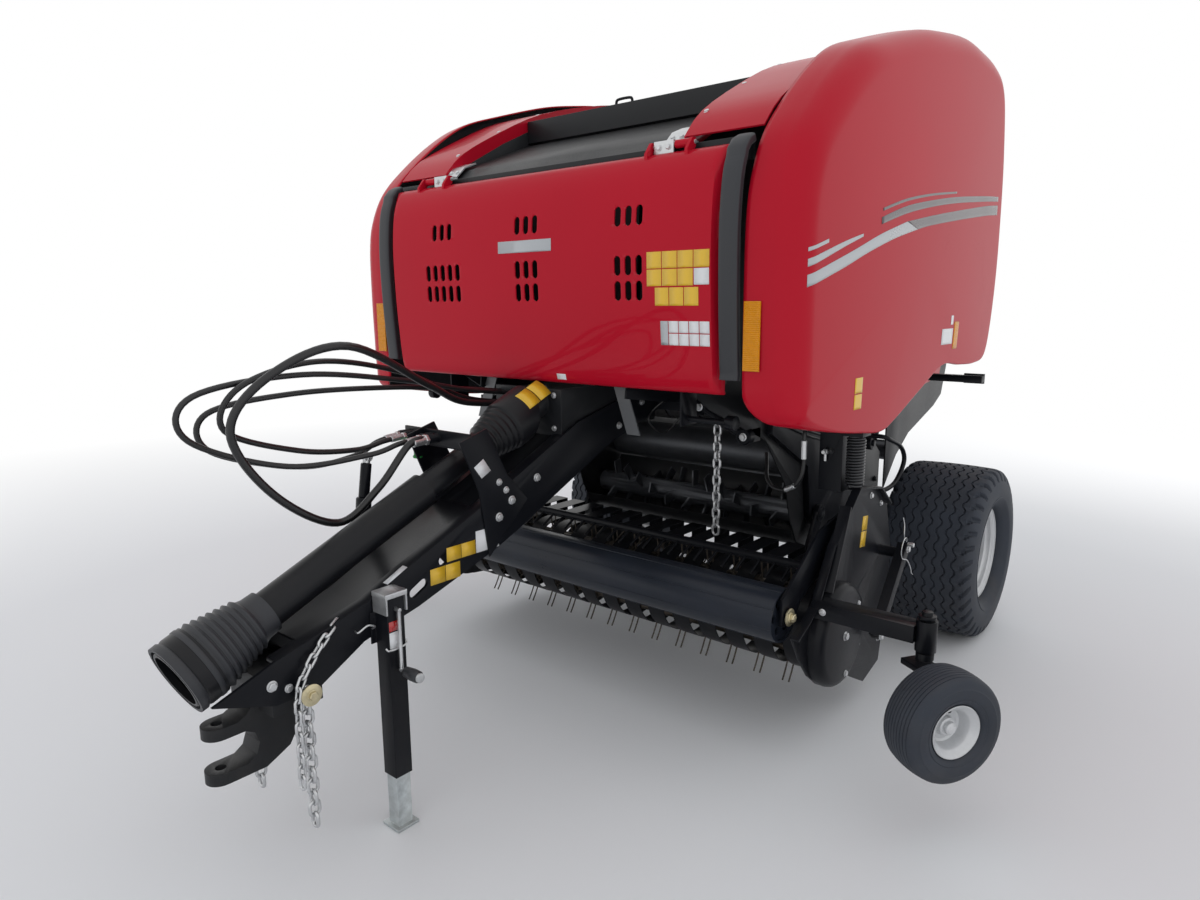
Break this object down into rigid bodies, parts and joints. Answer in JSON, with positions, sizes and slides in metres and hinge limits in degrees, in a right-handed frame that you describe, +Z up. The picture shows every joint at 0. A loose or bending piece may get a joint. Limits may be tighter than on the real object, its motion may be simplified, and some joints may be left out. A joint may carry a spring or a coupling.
{
  "type": "towed round baler",
  "caption": "Towed round baler with red body panels, black drawbar with clevis hitch and driven shaft, wide tined pickup with gauge wheels, lifting tailgate and parking jack.",
  "frame": {"origin": "on the ground under the middle of the whole machine, parked on its two main tyres and its jack", "axes": "+X to the machine's left, +Y to the rear (the tailgate), -Y along the drawbar to the front, +Z up"},
  "size_m": [3.4096, 4.4743, 2.8253],
  "materials": {
    "amber": "gloss",
    "black_paint": "satin",
    "black_plastic": "matt",
    "chrome": "polished",
    "dark_paint": "satin",
    "galvanised": "matt",
    "lamp_red": "gloss",
    "red_panel": "gloss",
    "rim_silver": "satin",
    "rubber": "matt",
    "steel": "satin",
    "tyre": "matt",
    "zinc": "satin"
  },
  "bodies": {
    "frame": {"chassis": "black_paint", "axle_beam": "black_paint", "chamber_sides": "dark_paint", "chamber_rollers": "dark_paint", "front_belts": "rubber", "top_frame": "dark_paint", "inner_panels": "red_panel", "edge_strips": "rubber", "hood_hinges": "zinc", "shield_hinges": "zinc", "drawbar": "black_paint", "hitch": "black_paint", "hose_holder": "black_paint", "gearbox": "black_paint", "gearbox_shield": "black_plastic", "drive_shaft": "black_plastic", "shaft_cones": "black_plastic", "jack_tube": "black_paint", "jack_crank": "zinc", "safety_chains": "steel", "feed_housing": "black_paint", "lift_springs": "dark_paint", "light_arms": "black_paint", "lamps": "lamp_red", "hose_1": "rubber", "hose_2": "rubber", "hose_3": "rubber", "hose_4": "rubber"},
    "jack_leg": {"jack_leg": "galvanised"},
    "feed_rotor": {"feed_rotor": "dark_paint"},
    "hood": {"hood": "red_panel"},
    "shield_l": {"shield_l": "red_panel", "reflectors_l": "amber"},
    "shield_r": {"shield_r": "red_panel", "reflectors_r": "amber"},
    "pickup": {"pickup_frame": "black_paint", "pickup_bands": "black_paint"},
    "pickup_reel": {"pickup_reel": "dark_paint"},
    "windguard": {"windguard": "black_paint"},
    "crop_roller": {"crop_roller": "black_paint"},
    "gauge_arm_l": {"gauge_arm_l": "black_paint"},
    "gauge_arm_r": {"gauge_arm_r": "black_paint"},
    "gauge_wheel_l": {"gauge_tyre_l": "tyre", "gauge_rim_l": "rim_silver"},
    "gauge_wheel_r": {"gauge_tyre_r": "tyre", "gauge_rim_r": "rim_silver"},
    "tailgate": {"gate_sides": "black_paint", "gate_panels": "red_panel", "gate_rollers": "dark_paint", "gate_belts": "rubber"},
    "gate_barrel_l": {"gate_barrel_l": "black_paint"},
    "gate_barrel_r": {"gate_barrel_r": "black_paint"},
    "gate_rod_l": {"gate_rod_l": "chrome"},
    "gate_rod_r": {"gate_rod_r": "chrome"},
    "wheel_l": {"tyre_l": "tyre", "rim_l": "rim_silver"},
    "wheel_r": {"tyre_r": "tyre", "rim_r": "rim_silver"}
  },
  "joints": [
    {"name": "wheel_l_roll", "type": "hinge", "parent": "frame", "child": "wheel_l", "pos_m": [1.03, 1.2525, 0.435], "axis": [1, 0, 0], "continuous": true},
    {"name": "wheel_r_roll", "type": "hinge", "parent": "frame", "child": "wheel_r", "pos_m": [-1.03, 1.2525, 0.435], "axis": [1, 0, 0], "continuous": true},
    {"name": "jack_leg_slide", "type": "slide", "parent": "frame", "child": "jack_leg", "axis": [0, 0, 1], "range_m": [-0.1, 0.17]},
    {"name": "feed_rotor_spin", "type": "hinge", "parent": "frame", "child": "feed_rotor", "pos_m": [0, 0.4225, 0.715], "axis": [1, 0, 0], "continuous": true},
    {"name": "hood_lift", "type": "hinge", "parent": "frame", "child": "hood", "pos_m": [0, -0.6875, 2.222], "axis": [-1, 0, 0], "range_deg": [0, 75]},
    {"name": "shield_l_lift", "type": "hinge", "parent": "frame", "child": "shield_l", "pos_m": [0.952, 0.8025, 2.782], "axis": [0, -1, 0], "range_deg": [0, 55]},
    {"name": "shield_r_lift", "type": "hinge", "parent": "frame", "child": "shield_r", "pos_m": [-0.952, 0.8025, 2.782], "axis": [0, 1, 0], "range_deg": [0, 55]},
    {"name": "pickup_lower", "type": "hinge", "parent": "frame", "child": "pickup", "pos_m": [0, 0.4525, 0.72], "axis": [1, 0, 0], "range_deg": [0, 11], "deforming": ["lift_springs"]},
    {"name": "reel_spin", "type": "hinge", "parent": "pickup", "child": "pickup_reel", "pos_m": [0, -0.1035, 0.425], "axis": [1, 0, 0], "continuous": true},
    {"name": "windguard_lift", "type": "hinge", "parent": "pickup", "child": "windguard", "pos_m": [0, 0.1725, 0.9], "axis": [-1, 0, 0], "range_deg": [0, 20]},
    {"name": "crop_roller_spin", "type": "hinge", "parent": "windguard", "child": "crop_roller", "pos_m": [0, -0.4935, 0.585], "axis": [1, 0, 0], "continuous": true},
    {"name": "gauge_swivel_l", "type": "hinge", "parent": "pickup", "child": "gauge_arm_l", "pos_m": [1.44, -0.3475, 0.6], "axis": [0, 0, 1], "range_deg": [-30, 60]},
    {"name": "gauge_roll_l", "type": "hinge", "parent": "gauge_arm_l", "child": "gauge_wheel_l", "pos_m": [1.55474, -0.50285, 0.37], "axis": [0.8453, -0.5344, 0], "continuous": true},
    {"name": "gauge_swivel_r", "type": "hinge", "parent": "pickup", "child": "gauge_arm_r", "pos_m": [-1.44, -0.3475, 0.6], "axis": [0, 0, 1], "range_deg": [-60, 30]},
    {"name": "gauge_roll_r", "type": "hinge", "parent": "gauge_arm_r", "child": "gauge_wheel_r", "pos_m": [-1.55474, -0.50285, 0.37], "axis": [-0.8453, -0.5344, 0], "continuous": true},
    {"name": "tailgate_lift", "type": "hinge", "parent": "frame", "child": "tailgate", "pos_m": [0, 1.1025, 2.55], "axis": [1, 0, 0], "range_deg": [0, 60]},
    {"name": "gate_barrel_l_tilt", "type": "hinge", "parent": "frame", "child": "gate_barrel_l", "pos_m": [0.719, 0.9025, 1], "axis": [1, 0, 0], "range_deg": [-1, 5.04]},
    {"name": "gate_rod_l_slide", "type": "slide", "parent": "gate_barrel_l", "child": "gate_rod_l", "axis": [0, 0.5647, 0.8253], "range_m": [-0.001, 0.7453]},
    {"name": "gate_barrel_r_tilt", "type": "hinge", "parent": "frame", "child": "gate_barrel_r", "pos_m": [-0.719, 0.9025, 1], "axis": [1, 0, 0], "range_deg": [-1, 5.04]},
    {"name": "gate_rod_r_slide", "type": "slide", "parent": "gate_barrel_r", "child": "gate_rod_r", "axis": [0, 0.5647, 0.8253], "range_m": [-0.001, 0.7453]}
  ],
  "couplings": [
    {"joint": "gate_barrel_l_tilt", "follows": "tailgate_lift", "ratio": 0.073912},
    {"joint": "gate_rod_l_slide", "follows": "tailgate_lift", "m_per_rad": 0.70784},
    {"joint": "gate_barrel_r_tilt", "follows": "tailgate_lift", "ratio": 0.073912},
    {"joint": "gate_rod_r_slide", "follows": "tailgate_lift", "m_per_rad": 0.70784}
  ]
}
